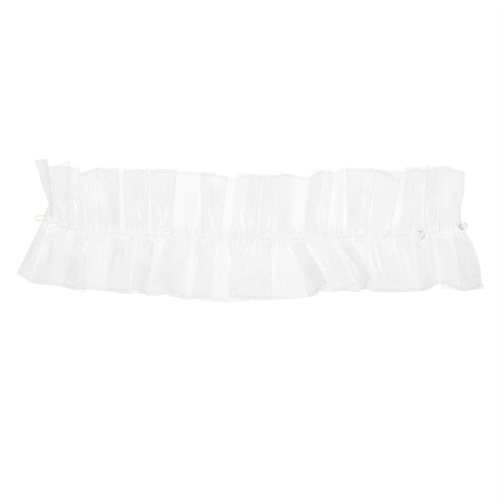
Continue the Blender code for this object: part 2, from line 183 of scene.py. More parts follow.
def edge_corners(pleat, following):
    """The corners where one pleat gives way to the next, some without a height or a band yet."""
    high_turn = 1.0 - TURN_DROP
    right = (pleat.right, pleat.band_right, narrowing(pleat))
    left = (following.left, following.band_left, narrowing(following))
    right_band, left_band = pleat.band_right, following.band_left
    turn_under = [
        Corner(*right, pleat.plies + FOLD_PLIES, -FOLD_ROUND, pleat.right_y, 1.0, None),
        Corner(*right, TUCK_PLIES, 0.0, pleat.right_y, high_turn, right_band),
    ]
    turn_over = [
        Corner(*left, following.plies + FOLD_PLIES, 0.0, following.left_y, high_turn, left_band),
        Corner(*left, following.plies, FOLD_ROUND, following.left_y, 1.0, None),
    ]
    right_fold = 1 - pleat.tuck_right / (pleat.right - pleat.left)
    left_fold = following.tuck_left / (following.right - following.left)
    right_y = hem_under(pleat, right_fold, pleat.under_y)
    left_y = hem_under(following, left_fold, pleat.under_y)
    fold_plies = UNDER_FOLD * pleat.between
    under_right = [
        Corner(*right, fold_plies, -pleat.tuck_right, right_y, TURN_DROP, None),
        Corner(*right, pleat.between, FOLD_ROUND - pleat.tuck_right, right_y, 0.0, None),
    ]
    under_left = [
        Corner(*left, fold_plies, following.tuck_left - FOLD_ROUND, left_y, 0.0, None),
        Corner(*left, TUCK_PLIES, following.tuck_left, left_y, TURN_DROP, None),
    ]
    middle = (pleat.right + following.left) / 2
    band_middle = (pleat.band_right + following.band_left) / 2
    under_middle = Corner(middle, band_middle, 1.0, pleat.between, 0.0, pleat.under_y, 0.0, None)
    if pleat.tuck_right and following.tuck_left:
        return turn_under + under_right + [under_middle] + under_left + turn_over
    if following.tuck_left:
        low_edge = Corner(*right, pleat.between, 0.0, pleat.right_y, 0.0, right_band)
        return [low_edge] + under_left + turn_over
    if pleat.tuck_right:
        low_start = Corner(*left, following.plies, 0.0, following.left_y, 0.0, left_band)
        return turn_under + under_right + [low_start]
    return [Corner(*right, following.plies, 0.0, pleat.right_y, None, right_band)]


def fill_missing(corners, field):
    """Give corners without a value one in proportion to the cloth between them."""
    along = [0.0]
    for before, after in zip(corners, corners[1:]):
        step = math.hypot(
            before.edge_x + before.turn - after.edge_x - after.turn, before.y - after.y
        )
        along.append(along[-1] + step + FOLD_SHARE)
    known = [i for i, corner in enumerate(corners) if getattr(corner, field) is not None]
    filled = np.interp(
        along, [along[i] for i in known], [getattr(corners[i], field) for i in known]
    )
    return [corner._replace(**{field: float(v)}) for corner, v in zip(corners, filled)]


def end_corner(x, band, y, height, plies):
    return Corner(x, band, 1.0, plies, 0.0, y, height, band)


def corners_of(pleats, end_heights):
    """All the corners of a ruffle, from the strip's first end to its last."""
    first, last = pleats[0], pleats[-1]
    corners = [end_corner(first.left, first.band_left, first.left_y, end_heights[0], first.plies)]
    for pleat, following in zip(pleats, pleats[1:]):
        corners += edge_corners(pleat, following)
    corners.append(end_corner(last.right, last.band_right, last.right_y, end_heights[1], last.plies))
    return fill_missing(fill_missing(corners, "height"), "band")


def pull_of(bends, x, share):
    """How far the cloth is pulled along X beside the ends of a ruffle."""
    pull = 0.0
    for bend in bends:
        beside = np.exp(-np.abs(x - x[bend.end]) / bend.reach)
        width = np.where(share < bend.at_share, bend.at_share, bend.fade)
        off = np.abs(share - bend.at_share) / width
        pull = pull + bend.pull * beside * np.maximum(0.0, 1.0 - off ** bend.curve)
    return pull


def ruffle_points(corners, places, shares, band_height, bends):
    """Points of one ruffle, at places along the gathers and at shares of the way to its hem."""
    edge_x, edge_band, narrow, _, turn, y, height, band = np.array(corners, float).T[:, :, None]
    share = np.asarray(shares, float)[None, :]
    undone = (1 - share) ** TUCK_CURVE
    x = mix(edge_band, edge_x, share) + turn * mix(narrow, 1.0, share) * (1 - undone)
    x = x + (band - edge_band) * undone
    x = x + pull_of(bends, x, share)
    risen = 1 - (1 - np.minimum(1.0, share / HEIGHT_REACH)) ** HEIGHT_CURVE
    rows = np.stack([x, mix(gather_y(band[:, 0])[:, None], y, share), height * risen], axis=2)
    knots = band[:, 0]
    points = through(knots, rows, places)
    i = np.clip(np.searchsorted(knots, places, side="right") - 1, 0, len(knots) - 2)
    u = (places - knots[i]) / np.diff(knots)[i]
    run = np.hypot(*np.diff(rows[:, -1, :2], axis=0).T)[i]
    high = np.minimum(height[i, 0], height[i + 1, 0])
    swell = PANEL_SWELL * high * 4 * u * (1 - u) * (run > LONG_RUN)
    points[:, :, 2] += band_height[:, None] * (1 - risen) + swell[:, None] * risen
    points[:, :, 2] = CLOTH_REST + FOLD_HEIGHT * points[:, :, 2]
    return points


def plies_at(corners, places):
    """How many plies the cloth has at places along the gathers, with short soft steps."""
    bands = np.array([corner.band for corner in corners])
    plies = [corner.plies for corner in corners]
    stations = np.sort(np.concatenate([bands[1:-1] - PLY_EDGE, bands[1:-1] + PLY_EDGE]))
    return np.interp(places, stations, np.repeat(plies[:-1], 2)[1:-1])


# ---------------------------------------------------------------- the gathers
# Two rows of gathering stitches draw the strip up to a third of its length. The cloth stands in
# small rounded gathers there, a few millimetres apart. Some fade at once, and others run on as
# creases far into the ruffles.
SEAM_ROWS = (4.6, 0.0)      # the rows of stitches, up from the gather line
GATHER_PITCH = 3.7
GATHER_UNEVEN = 0.33
GATHER_HEIGHT = 0.9         # of a gather above and below the middle of the cloth
GATHER_OVERHANG = 0.55      # how far a gather's sides lean out over each other
GATHER_LEAN = 0.8           # and how far it leans over as a whole, as a share of that
FOLD_SIZES = (0.55, 1.25)   # the least and the most of a fold, as shares of the usual size
GATHER_REACH = (3.0, 15.0)  # the least and the most that a gather runs into a ruffle
PINCH = 0.45                # how much flatter the gathers are under a row of stitches
PINCH_WIDTH = 1.3
SOFT_PITCH = 9.5            # the wider folds that the small gathers run out into
SOFT_HEIGHT = 0.6
SOFT_OVERHANG = 0.12
SOFT_REACH = (16.0, 60.0)
SOFT_START = 9.0


def uneven_stations(pitch, draws):
    """Places along the gathers, one for each fold."""
    count = round((STRIP_END - STRIP_START) / pitch)
    steps = 1.0 + GATHER_UNEVEN * draws.uniform(-1.0, 1.0, count)
    edges = np.concatenate([[0.0], np.cumsum(steps)]) / steps.sum()
    return mix(STRIP_START, STRIP_END, edges)


def add_folds(points, places, away, pitch, height, overhang, reach, start, seed):
    """Raise rounded folds in the points, and return how far up them each point is.

    away is each point's distance from the gather line.
    """
    draws = np.random.default_rng(seed)
    stations = uneven_stations(pitch, draws)
    count = np.arange(len(stations))
    at = np.interp(places, stations, count)
    phase = 2 * math.pi * at[:, None]

    def uneven(low, high):
        return np.interp(at, count, draws.uniform(low, high, len(stations)))[:, None]

    size = uneven(*FOLD_SIZES)
    lean = uneven(-GATHER_LEAN, GATHER_LEAN) * overhang
    above, below = uneven(*reach), uneven(*reach)
    fade = np.exp(-(away / np.where(away > 0, above, below)) ** 2)
    if start:
        fade = fade * np.minimum(1.0, np.abs(away) / start)
    size = size * fade
    points[:, :, 0] += size * (overhang * np.sin(2 * phase) + lean * np.cos(phase))
    points[:, :, 2] += size * height * np.cos(phase)
    return size * np.cos(phase)


def add_gathers(points, places, away):
    """Raise the gathers in the points, and return how far up the small ones each point is."""
    flat = points[:, :, 2].copy()
    crests = add_folds(points, places, away, GATHER_PITCH, GATHER_HEIGHT, GATHER_OVERHANG,
                       GATHER_REACH, 0.0, seed=11)
    held = sum(np.exp(-((away - row) / PINCH_WIDTH) ** 2) for row in SEAM_ROWS)
    points[:, :, 2] = mix(points[:, :, 2], flat, PINCH * np.minimum(1.0, held))
    add_folds(points, places, away, SOFT_PITCH, SOFT_HEIGHT, SOFT_OVERHANG,
              SOFT_REACH, SOFT_START, seed=5)
    return crests


# ---------------------------------------------------------------- the creases
# The main creases of the ruffles. Most are soft ridges where the cloth is drawn taut from the gathers
# and its threads stand apart, made thinner, which also paints a sheen on them; the others are troughs
# where it lies doubled.
CREASE_ENDS = 0.7           # below 1, a crease keeps its depth until close to its ends
Crease = namedtuple("Crease", "x0 y0 x1 y1 width rise denser")
UPPER_CREASES = (
    Crease(-187.4, 49.0, -185.3, 22.2, 1.6, 0.2, 0.35),
    Crease(-186.6, 24.0, -186.6, 9.0, 3.0, 0.2, 0.35),
    Crease(-171.9, 62.5, -171.9, 10.1, 2.2, 0.3, 0.25),
    Crease(-179.9, 33.0, -174.5, 12.8, 1.2, 0.3, -0.65),
    Crease(-174.1, 25.5, -173.2, 13.0, 0.6, 0.4, -1.6),
    Crease(-163.8, 27.6, -162.5, 16.8, 0.7, 0.4, -1.6),
    Crease(-166.0, 60.0, -161.0, 42.0, 3.0, 0.3, -0.55),
    Crease(-167.8, 42.3, -166.5, 15.5, 1.0, -0.3, 0.25),
    Crease(-155.4, 50.5, -152.2, 33.0, 0.7, 0.5, -1.6),
    Crease(-144.3, 53.0, -144.3, 20.0, 5.0, 0.4, -0.55),
    Crease(-131.6, 42.3, -125.5, 2.0, 3.0, -0.3, 0.3),
    Crease(-139.0, 44.0, -136.0, 12.0, 5.0, 0.2, -0.35),
    Crease(-145.0, 13.0, -144.0, 1.5, 1.0, 0.4, -1.25),
    Crease(-106.1, 48.0, -106.1, 28.0, 5.5, -0.2, 0.35),
    Crease(-107.4, 24.9, -101.4, 6.0, 1.8, 0.4, -0.7),
    Crease(-98.7, 50.4, -95.3, 32.9, 1.0, 0.3, -0.9),
    Crease(-73.9, 48.0, -75.2, 17.0, 3.0, -0.3, 0.25),
    Crease(-87.3, 24.9, -81.9, 4.7, 1.5, 0.4, -0.9),
    Crease(-77.2, 23.5, -80.6, 6.0, 1.0, 0.4, -0.9),
    Crease(-67.5, 54.3, -47.8, 53.5, 1.0, 0.0, 0.7),
    Crease(-53.7, 50.0, -56.4, 3.4, 4.0, -0.3, 0.35),
    Crease(-47.0, 38.0, -47.7, 17.0, 0.8, 0.4, -1.45),
    Crease(-47.4, 20.0, -51.9, 0.5, 0.9, 0.4, -1.45),
    Crease(-33.6, 42.0, -33.6, 20.0, 6.0, -0.2, 0.4),
    Crease(-38.9, 22.2, -34.2, 0.7, 1.3, 0.4, -1.1),
    Crease(-42.0, 48.5, -24.0, 47.5, 4.0, 0.2, -0.45),
    Crease(-44.3, 13.0, -44.3, -4.7, 2.0, -0.3, 0.3),
    Crease(-1.3, 44.0, -1.3, 20.0, 5.0, -0.2, 0.35),
    Crease(-9.4, 18.1, -5.4, 0.7, 1.4, 0.4, -0.9),
    Crease(1.4, 14.0, -1.3, -0.6, 1.0, 0.4, -1.1),
    Crease(20.1, 18.0, 15.4, 0.7, 1.5, 0.4, -0.9),
    Crease(23.5, 13.0, 23.5, -4.7, 0.8, 0.4, -1.25),
    Crease(32.2, 30.0, 32.2, 4.0, 3.5, -0.3, 0.3),
    Crease(44.3, 37.0, 41.6, 0.7, 3.0, 0.3, -0.55),
    Crease(38.0, 47.0, 41.0, 37.0, 3.0, -0.2, 0.3),
    Crease(38.0, 52.8, 55.5, 48.4, 0.9, 0.0, 1),
    Crease(53.7, 33.0, 54.4, 10.0, 2.5, -0.3, 0.35),
    Crease(65.8, 30.2, 60.4, 3.4, 1.3, 0.4, -0.9),
    Crease(71.2, 24.0, 70.0, 7.0, 3.0, 0.3, -0.55),
    Crease(79.9, 50.0, 76.5, 7.0, 1.2, 0.4, -1.1),
    Crease(85.9, 50.0, 83.3, 7.0, 1.8, -0.3, 0.5),
    Crease(91.3, 26.0, 88.0, 0.5, 1.0, 0.4, -1.45),
    Crease(96.7, 35.0, 98.0, 0.0, 3.5, -0.3, 0.35),
    Crease(104.0, 50.0, 118.0, 42.0, 5.0, 0.2, -0.55),
    Crease(116.1, 34.5, 111.4, 3.0, 0.9, 0.5, -1.6),
    Crease(107.4, 33.0, 106.0, 20.0, 2.0, 0.3, -0.65),
    Crease(126.9, 27.0, 122.9, 7.0, 4.0, -0.3, 0.3),
    Crease(140.3, 27.0, 136.3, 2.5, 2.5, 0.3, -1.25),
    Crease(129.6, 10.0, 128.2, 0.0, 1.2, 0.3, -0.9),
    Crease(118.0, 57.3, 144.0, 47.5, 1.0, 0.0, 0.8),
    Crease(147.0, 51.0, 148.4, 27.0, 3.5, -0.3, 0.25),
    Crease(161.8, 53.0, 161.8, 27.0, 2.0, 0.4, -0.7),
    Crease(162.5, 27.0, 162.5, 3.0, 0.9, 0.4, -1.25),
    Crease(166.5, 26.0, 166.5, 4.0, 0.8, 0.4, -1.25),
    Crease(175.3, 58.0, 172.6, 37.0, 4.0, -0.3, 0.3),
    Crease(184.7, 51.0, 183.3, 12.0, 3.5, 0.3, -0.45),
    Crease(173.9, 21.0, 175.3, 5.0, 1.5, -0.3, 0.3),
    Crease(194.5, 37.0, 191.5, 26.0, 1.5, -0.2, 0.4),
)
LOWER_CREASES = (
    Crease(-194.0, 1.0, -213.5, -36.0, 3.0, -0.2, 0.25),
    Crease(-191.5, -8.0, -200.5, -33.0, 3.0, 0.3, -0.65),
    Crease(-190.2, -14.0, -193.8, -31.0, 0.6, 0.4, -1.45),
    Crease(-184.6, -2.0, -189.3, -46.0, 0.8, -0.4, 0.5),
    Crease(-167.0, -1.0, -175.5, -20.0, 3.0, 0.3, -0.35),
    Crease(-167.9, -26.0, -168.5, -47.0, 4.5, -0.3, 0.35),
    Crease(-152.6, -8.0, -156.8, -24.0, 1.6, 0.5, -1.6),
    Crease(-139.6, -10.0, -141.0, -46.0, 1.2, 0.3, -0.55),
    Crease(-124.2, -7.0, -133.2, -48.5, 0.9, -0.4, 0.45),
    Crease(-133.0, -17.0, -138.0, -46.0, 1.5, 0.3, -0.45),
    Crease(-119.5, -15.0, -119.5, -27.0, 2.5, -0.3, 0.3),
    Crease(-118.0, -36.0, -119.2, -51.0, 3.0, -0.2, 0.25),
    Crease(-97.5, -31.0, -100.5, -47.0, 4.0, -0.3, 0.45),
    Crease(-99.0, -12.0, -103.0, -32.0, 5.0, 0.2, -0.3),
    Crease(-84.6, -9.0, -84.0, -24.0, 0.7, 0.4, -1.6),
    Crease(-83.5, -41.5, -68.5, -54.5, 3.5, -0.3, 0.5),
    Crease(-75.0, -16.0, -67.5, -30.0, 4.0, 0.3, -0.35),
    Crease(-54.8, -19.0, -59.3, -60.0, 4.5, 0.3, -0.7),
    Crease(-48.3, -17.0, -55.4, -62.0, 0.8, 0.4, -1.25),
    Crease(-35.6, -14.0, -37.8, -28.0, 0.8, 0.4, -1.1),
    Crease(-28.9, -10.0, -31.6, -30.0, 1.0, 0.4, -1.25),
    Crease(-20.8, -14.0, -18.1, -43.5, 1.0, 0.4, -1.6),
    Crease(-13.4, -43.0, -13.4, -60.0, 4.0, -0.2, 0.25),
    Crease(1.6, -36.0, 0.0, -55.0, 3.0, -0.2, 0.2),
    Crease(-5.4, -14.5, -5.6, -24.0, 0.5, 0.4, -1.45),
    Crease(-2.4, -15.0, -2.6, -22.5, 0.5, 0.4, -1.1),
    Crease(0.6, -14.5, 0.4, -23.0, 0.5, 0.4, -1.25),
    Crease(3.8, -14.0, 3.6, -24.5, 0.5, 0.4, -1.45),
    Crease(-1.3, -27.0, -5.4, -47.0, 3.0, 0.2, -0.35),
    Crease(12.0, -41.0, 15.0, -61.0, 6.0, -0.2, 0.3),
    Crease(24.0, -17.0, 22.6, -46.0, 0.7, 0.4, -1.1),
    Crease(36.5, -37.0, 33.0, -52.0, 3.0, -0.2, 0.2),
    Crease(34.5, -14.0, 46.8, -31.5, 1.0, 0.4, -1.25),
    Crease(46.0, -30.0, 53.9, -54.0, 1.0, 0.4, -1.25),
    Crease(52.0, -29.0, 67.0, -54.0, 7.0, -0.3, 0.35),
    # These two flat lines are painted shade at the corner of a pleat's hem.
    Crease(58.0, -61.5, 75.0, -48.5, 1.2, 0.0, 0.8),
    Crease(56.0, -57.0, 72.0, -44.5, 0.7, 0.0, 0.5),
    Crease(53.2, -10.5, 59.6, -24.5, 1.6, 0.4, -1.6),
    Crease(58.6, -22.5, 73.0, -40.5, 1.2, 0.4, -1.1),
    Crease(79.5, -24.5, 92.0, -41.0, 4.0, -0.3, 0.2),
    Crease(87.5, -14.0, 111.0, -46.0, 2.6, -0.3, 0.3),
    Crease(82.5, -14.0, 101.5, -39.5, 0.8, 0.4, -1.1),
    Crease(103.5, -52.0, 115.5, -43.5, 3.0, -0.2, 0.6),
    Crease(95.8, -3.5, 98.2, -16.5, 0.8, 0.4, -1.45),
    Crease(103.0, -10.0, 107.8, -28.0, 1.6, 0.4, -1.1),
    Crease(109.8, -17.0, 115.8, -41.0, 1.2, 0.4, -0.9),
    Crease(106.5, -15.0, 117.5, -46.0, 1.2, -0.3, 0.3),
    Crease(116.2, -9.0, 124.4, -43.5, 1.0, 0.4, -1.45),
    Crease(112.0, -19.0, 120.3, -49.0, 0.9, 0.3, -0.7),
    Crease(133.6, -8.0, 132.3, -25.0, 4.0, 0.3, -0.55),
    Crease(135.0, -36.0, 136.0, -51.0, 6.0, -0.2, 0.25),
    Crease(141.2, -11.5, 154.2, -51.5, 1.8, 0.4, -0.7),
    Crease(157.5, -10.0, 162.2, -22.0, 2.5, -0.3, 0.3),
    Crease(176.2, -16.0, 181.0, -44.0, 2.5, 0.3, -0.45),
    Crease(188.2, -16.0, 194.5, -41.5, 1.5, -0.3, 0.3),
    Crease(194.8, -27.0, 205.4, -49.0, 2.5, -0.3, 0.5),
    Crease(161.0, -53.8, 174.8, -44.2, 3.0, -0.2, 0.35),
    Crease(207.0, -30.0, 214.5, -56.0, 6.0, -0.2, 0.35),
    Crease(201.0, -18.0, 214.5, -21.0, 1.2, 0.3, -0.55),
    Crease(203.0, -40.5, 217.0, -39.0, 1.2, 0.3, -0.55),
)


def press_creases(points, cover):
    """Press the creases into the points, and part or crowd the threads along them, which also paints
    sheen on the ridges and shade at a hem's corner.
    """
    x, y = points[:, :, 0], points[:, :, 1]
    for x0, y0, x1, y1, width, rise, denser in UPPER_CREASES + LOWER_CREASES:
        run_x, run_y = x1 - x0, y1 - y0
        length = math.hypot(run_x, run_y)
        along = ((x - x0) * run_x + (y - y0) * run_y) / length ** 2
        off = ((x - x0) * run_y - (y - y0) * run_x) / length
        ends = np.sin(math.pi * np.clip(along, 0.0, 1.0)) ** CREASE_ENDS
        press = np.exp(-(off / width) ** 2) * ends
        points[:, :, 2] += rise * press
        # Thinner ridges are parted threads and painted sheen; denser troughs are doubled cloth.
        cover *= np.exp(denser * press)


# ---------------------------------------------------------------- the sheet
# The strip as one thin sheet. Both long edges are turned under twice and stitched down, 3 mm deep,
# and both ends are turned under once. The turned layers are the outermost rows of the same sheet.
COLUMNS = 1640
FINE_PLACES = 6000          # where the cloth is measured before the columns are shared out
AWAY_ROWS = (0.3, 0.8, 1.9, 3.2, 4.6, 6.0, 8.0, 10.5, 13.5, 17.0, 21.0, 25.5, 30.5, 35.5, 40.5, 45.5)
EDGE_ROWS = (7.0, 4.4, 3.3, 2.7, 1.4, 0.3, 0.0)     # distances in from the edge, on top
AWAY_ROWS_END = 10.5        # the least distance in from the edge of the rows before those
Turned = namedtuple("Turned", "line depth")         # a line of the top and how far under it
HEM_LAYERS = (
    Turned(1, 0.4), Turned(2, 0.45), Turned(3, 0.4), Turned(3, 0.22), Turned(2, 0.24), Turned(1, 0.22)
)
END_LAYERS = (Turned(1, 0.35), Turned(4, 0.4), Turned(8, 0.35))
COLUMN_WEIGHTS = (2.2, 0.5)     # columns go by the length of the gathers and of each hem
LOWEST, LOWEST_TURNED = 0.15, 0.075     # least heights of the cloth and of its turned layers
STEEPEST = 0.8              # how far up the normal points where a slope adds the most cover
UPPER_TURNED, LOWER_TURNED = 0.07, 0.15      # how dense the hems' turned-under layers are
END_TURNED = 0.25           # the same for the ends, as a share of the cloth beside them
EVEN_OUT = 9                # columns over which the closeness of the threads is evened out
CLOSEST = 1.2               # the most that it adds in the ruffles
GATHERED_COVER = 3.0        # how densely all the layers of the gathers cover together
GATHERED_REACH = (4.0, 10.0)    # from where to where, off the gather line, they open out
LINE_LAYERS = 0.75          # on the line, layers count as those of the next row to this power
GATHER_PAINTED_SHADING = 0.5            # painted light and shade: how much thinner the cloth is made on the crests of the gathers, and denser in their troughs
CREST_START = 6.0           # distance from the gather line where that is all there
LOWER_OPENS = ((9.0, 45.0), (0.82, 1.05))    # distances below the line, and how full it is there


def cloth_length(points):
    """Distances along a line of points, from its first."""
    return np.concatenate([[0.0], np.cumsum(np.linalg.norm(np.diff(points, axis=0), axis=1))])


def even_places(all_corners):
    """Places along the gathers for the columns, closer together where cloth is folded away."""
    fine = np.linspace(STRIP_START, STRIP_END, FINE_PLACES)
    measure = COLUMN_WEIGHTS[0] * (fine - STRIP_START)
    for corners in all_corners:
        hem = ruffle_points(corners, fine, (1.0,), np.zeros(len(fine)), ())[:, 0]
        measure = measure + COLUMN_WEIGHTS[1] * cloth_length(hem)
    return np.interp(np.linspace(0.0, measure[-1], COLUMNS), measure, fine)


def ruffle_rows(corners, places, band_height, bends):
    """A ruffle from beside the gather line to its edge, and how far each row is from the line."""
    hem = ruffle_points(corners, places, (1.0,), band_height, bends)[:, 0]
    width = np.median(np.hypot(hem[:, 0] - places, hem[:, 1] - gather_y(places)))
    away = np.array(
        [row for row in AWAY_ROWS if row < width - AWAY_ROWS_END]
        + [width - inset for inset in EDGE_ROWS]
    )
    return ruffle_points(corners, places, away / width, band_height, bends), away


def wrong_side(points):
    """Unit vectors that point out of the cloth's wrong side."""
    normal = np.cross(np.gradient(points, axis=0), np.gradient(points, axis=1))
    return normal / np.maximum(np.linalg.norm(normal, axis=2, keepdims=True), 1e-9)


def layers_over(row):
    """How many layers of cloth lie over one another at each of a row's columns."""
    low, high = np.minimum(row[:-1], row[1:]), np.maximum(row[:-1], row[1:])
    return ((low <= row[:, None]) & (row[:, None] < high)).sum(axis=1).clip(1)


def evened(values):
    """Values along the strip, each averaged with its neighbours."""
    pad = EVEN_OUT // 2
    padded = np.pad(values, ((pad, pad), (0, 0)), "edge")
    total = np.cumsum(np.vstack([np.zeros((1, values.shape[1])), padded]), axis=0)
    return (total[EVEN_OUT:] - total[:-EVEN_OUT]) / EVEN_OUT


upper = corners_of(UPPER_PLEATS, UPPER_ENDS)
lower = corners_of(LOWER_PLEATS, LOWER_ENDS)
places = even_places((upper, lower))
hem_heights = [
    np.interp(places, [c.band for c in corners], [c.height for c in corners])
    for corners in (upper, lower)
]
band_height = BAND_HEIGHT_SHARE * (hem_heights[0] + hem_heights[1]) / 2
upper_rows, upper_away = ruffle_rows(upper, places, band_height, UPPER_BENDS)
lower_rows, lower_away = ruffle_rows(lower, places, band_height, LOWER_BENDS)
gather_row = np.stack(
    [places, gather_y(places), CLOTH_REST + FOLD_HEIGHT * band_height], axis=1
)[:, None]
face = np.concatenate([upper_rows[:, ::-1], gather_row, lower_rows], axis=1)
away = np.concatenate([upper_away[::-1], [0.0], -lower_away])[None, :]
spread = np.linalg.norm(np.gradient(face, axis=0), axis=2)
crests = add_gathers(face, places, away)
face[:, :, 2] = np.maximum(face[:, :, 2], LOWEST)
down = wrong_side(face)

# How densely the threads cover what lies under them. In the gathers the layers share it between
# them, further out each pleat has its plies, and the lower ruffle is fullest at its hem.
hem_lengths = [cloth_length(rows[:, -1]) for rows in (upper_rows, lower_rows)]
along_strip = (hem_lengths[0] + hem_lengths[1]) / 2
hem_spacing = np.where(away > 0, *(np.gradient(length)[:, None] for length in hem_lengths))
closeness = np.clip(evened(hem_spacing) / evened(spread), 1.0, CLOSEST)
plies = np.where(away > 0, plies_at(upper, places)[:, None], plies_at(lower, places)[:, None])
fullness = np.where(away > 0, 1.0, np.interp(-away, *LOWER_OPENS))
layers = np.ones(face.shape[:2])
for row in np.flatnonzero(np.abs(away[0]) < GATHERED_REACH[1]):
    layers[:, row] = layers_over(face[:, row, 0])
on_line = len(upper_away)
layers[:, on_line] = np.maximum(layers[:, on_line], layers[:, on_line + 1] ** LINE_LAYERS)
opened = np.interp(np.abs(away), GATHERED_REACH, (0.0, 1.0))
cover = mix(GATHERED_COVER / layers, plies * closeness * fullness, opened)
# Painted light on the gathers' crests and painted shade in their troughs, made by thinner and denser
# cloth.
cover = cover * np.exp(-GATHER_PAINTED_SHADING * crests * np.minimum(1.0, np.abs(away) / CREST_START))
cover = cover / np.maximum(np.abs(down[:, :, 2]), STEEPEST)
press_creases(face, cover)

to_edge = np.concatenate(
    [upper_away[-1] - upper_away[::-1], [upper_away[-1]], lower_away[-1] - lower_away]
)
strip_place = np.stack([
    np.broadcast_to(along_strip[:, None], cover.shape),
    np.broadcast_to(away, cover.shape),
    np.broadcast_to(to_edge[None, :], cover.shape),
], axis=2)


def turned_lines(layers, order, turned_cover):
    """Lines of points, cover and strip places for the layers turned under one long edge."""
    lines = [layer.line for layer in layers]
    depth = np.array([layer.depth for layer in layers])[None, :, None]
    points = face[:, order][:, lines] + down[:, order][:, lines] * depth
    return points, np.full(points.shape[:2], turned_cover), strip_place[:, order][:, lines]


def with_hems(middle, top, low):
    return np.concatenate([top[:, ::-1], middle, low], axis=1)


hems = [
    turned_lines(HEM_LAYERS, slice(None), UPPER_TURNED),
    turned_lines(HEM_LAYERS, slice(None, None, -1), LOWER_TURNED),
]
sheet, cover, strip_place = (
    with_hems(middle, top, low) for middle, top, low in zip((face, cover, strip_place), *hems)
)


def with_end_hems(values, depth=False, share=1.0):
    """Add the layers turned under the strip's two ends, with a share of the edge's values."""
    lines = [layer.line for layer in END_LAYERS][::-1]
    start, end = values[lines] * share, values[::-1][lines][::-1] * share
    if depth:
        drop = np.array([layer.depth for layer in END_LAYERS])[:, None]
        start[:, :, 2] -= drop[::-1]
        end[:, :, 2] -= drop
    return np.concatenate([start, values, end])


sheet = with_end_hems(sheet, depth=True)
cover = with_end_hems(cover, share=END_TURNED)
strip_place = with_end_hems(strip_place)
sheet[:, :, 2] = np.maximum(sheet[:, :, 2], LOWEST_TURNED)


def smooth_mesh(name, points, faces):
    """A mesh with smooth shading, from points in millimetres."""
    mesh = bpy.data.meshes.new(name)
    mesh.from_pydata((points * MM).tolist(), [], faces)
    mesh.polygons.foreach_set("use_smooth", np.ones(len(faces), bool))
    mesh.update()
    return mesh


def grid_mesh(name, points):
    """A mesh of quads over a grid of points."""
    columns, rows = points.shape[:2]
    index = np.arange(columns * rows).reshape(columns, rows)
    quads = np.stack([index[:-1, :-1], index[:-1, 1:], index[1:, 1:], index[1:, :-1]], axis=2)
    return smooth_mesh(name, points.reshape(-1, 3), quads.reshape(-1, 4).tolist())


def add_piece(name, data):
    piece = bpy.data.objects.new(name, data)
    bpy.context.scene.collection.objects.link(piece)
    return piece


def dress(piece, material, slot, *nodes):
    """Give a piece its material, on the one body there is, and hide the nodes it replaces; slot is not
    used.
    """
    piece.data.materials.append(material)
    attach(piece, "root")
    if nodes:
        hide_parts(*nodes)


ruffle = add_piece("ruffle_cloth", grid_mesh("ruffle_cloth", sheet))
ruffle.data.attributes.new("cover", "FLOAT", "POINT").data.foreach_set("value", cover.ravel())
ruffle.data.attributes.new("strip_place", "FLOAT_VECTOR", "POINT").data.foreach_set(
    "vector", strip_place.ravel()
)


class Shade:
    """One output of a material's nodes; sums on it add Math nodes."""

    def __init__(self, tree, socket=None):
        self.tree, self.socket = tree, socket

    def node(self, kind, settings=None, out=0, **inputs):
        """Add a node, its settings first, then the values or links of its inputs."""
        made = self.tree.nodes.new(kind)
        for name, value in (settings or {}).items():
            setattr(made, name, value)
        for name, value in inputs.items():
            place = int(name[1:]) if name[0] == "_" else name.replace("_", " ")
            if isinstance(value, Shade):
                self.tree.links.new(value.socket, made.inputs[place])
            else:
                made.inputs[place].default_value = value
        return Shade(self.tree, made.outputs[out])

    def math(self, operation, first, second=0.0):
        return self.node("ShaderNodeMath", {"operation": operation}, _0=first, _1=second)

    def __add__(self, other):
        return self.math("ADD", self, other)

    def __radd__(self, other):
        return self.math("ADD", other, self)

    def __sub__(self, other):
        return self.math("SUBTRACT", self, other)

    def __rsub__(self, other):
        return self.math("SUBTRACT", other, self)

    def __mul__(self, other):
        return self.math("MULTIPLY", self, other)

    def __rmul__(self, other):
        return self.math("MULTIPLY", other, self)

    def __truediv__(self, other):
        return self.math("DIVIDE", self, other)

    def __rtruediv__(self, other):
        return self.math("DIVIDE", other, self)

    def __pow__(self, other):
        return self.math("POWER", self, other)

    def __rpow__(self, other):
        return self.math("POWER", other, self)


def new_material(name):
    """A material with nodes, the start of its sums, and a way to set its shader's sockets."""
    material = bpy.data.materials.new(name)
    material.use_nodes = True
    shader = material.node_tree.nodes["Principled BSDF"]

    def finish_with(**sockets):
        for socket, value in sockets.items():
            place = shader.inputs[socket.replace("_", " ")]
            if isinstance(value, Shade):
                material.node_tree.links.new(value.socket, place)
            else:
                place.default_value = value

    return material, Shade(material.node_tree), finish_with


ORGANZA_WHITE = (0.93, 0.93, 0.93, 1.0)
OPEN_SHARE = 0.845          # of the light that goes straight through one layer
THREAD_PITCH = 0.32         # of the weave, in millimetres
THREAD_CLOSER = 0.015       # how much denser the middle of a thread is than the gaps
SLUB_WIDTH, SLUB_LENGTH, SLUB_DENSER = 2.5, 60.0, 0.06
CLOUD_WIDTH, CLOUD_LENGTH, CLOUD_DENSER = 16.0, 32.0, 0.15
EDGE_LINE_WIDTH, EDGE_DENSER = 0.45, 1.4
STITCH_LINE, STITCH_LINE_WIDTH, STITCH_DENSER = 2.7, 0.35, 0.7
UPPER_LINES = 0.3           # how strong the upper hem's lines are beside the lower one's
WEAVE_RELIEF, WEAVE_DEPTH = 0.015, 0.0001     # the depth is in metres


def line_at(place, middle, width):
    """A soft line: 1 in its middle, and near 0 past its width."""
    off = (place - middle) / width
    return 1 / (1 + off * off) ** 2


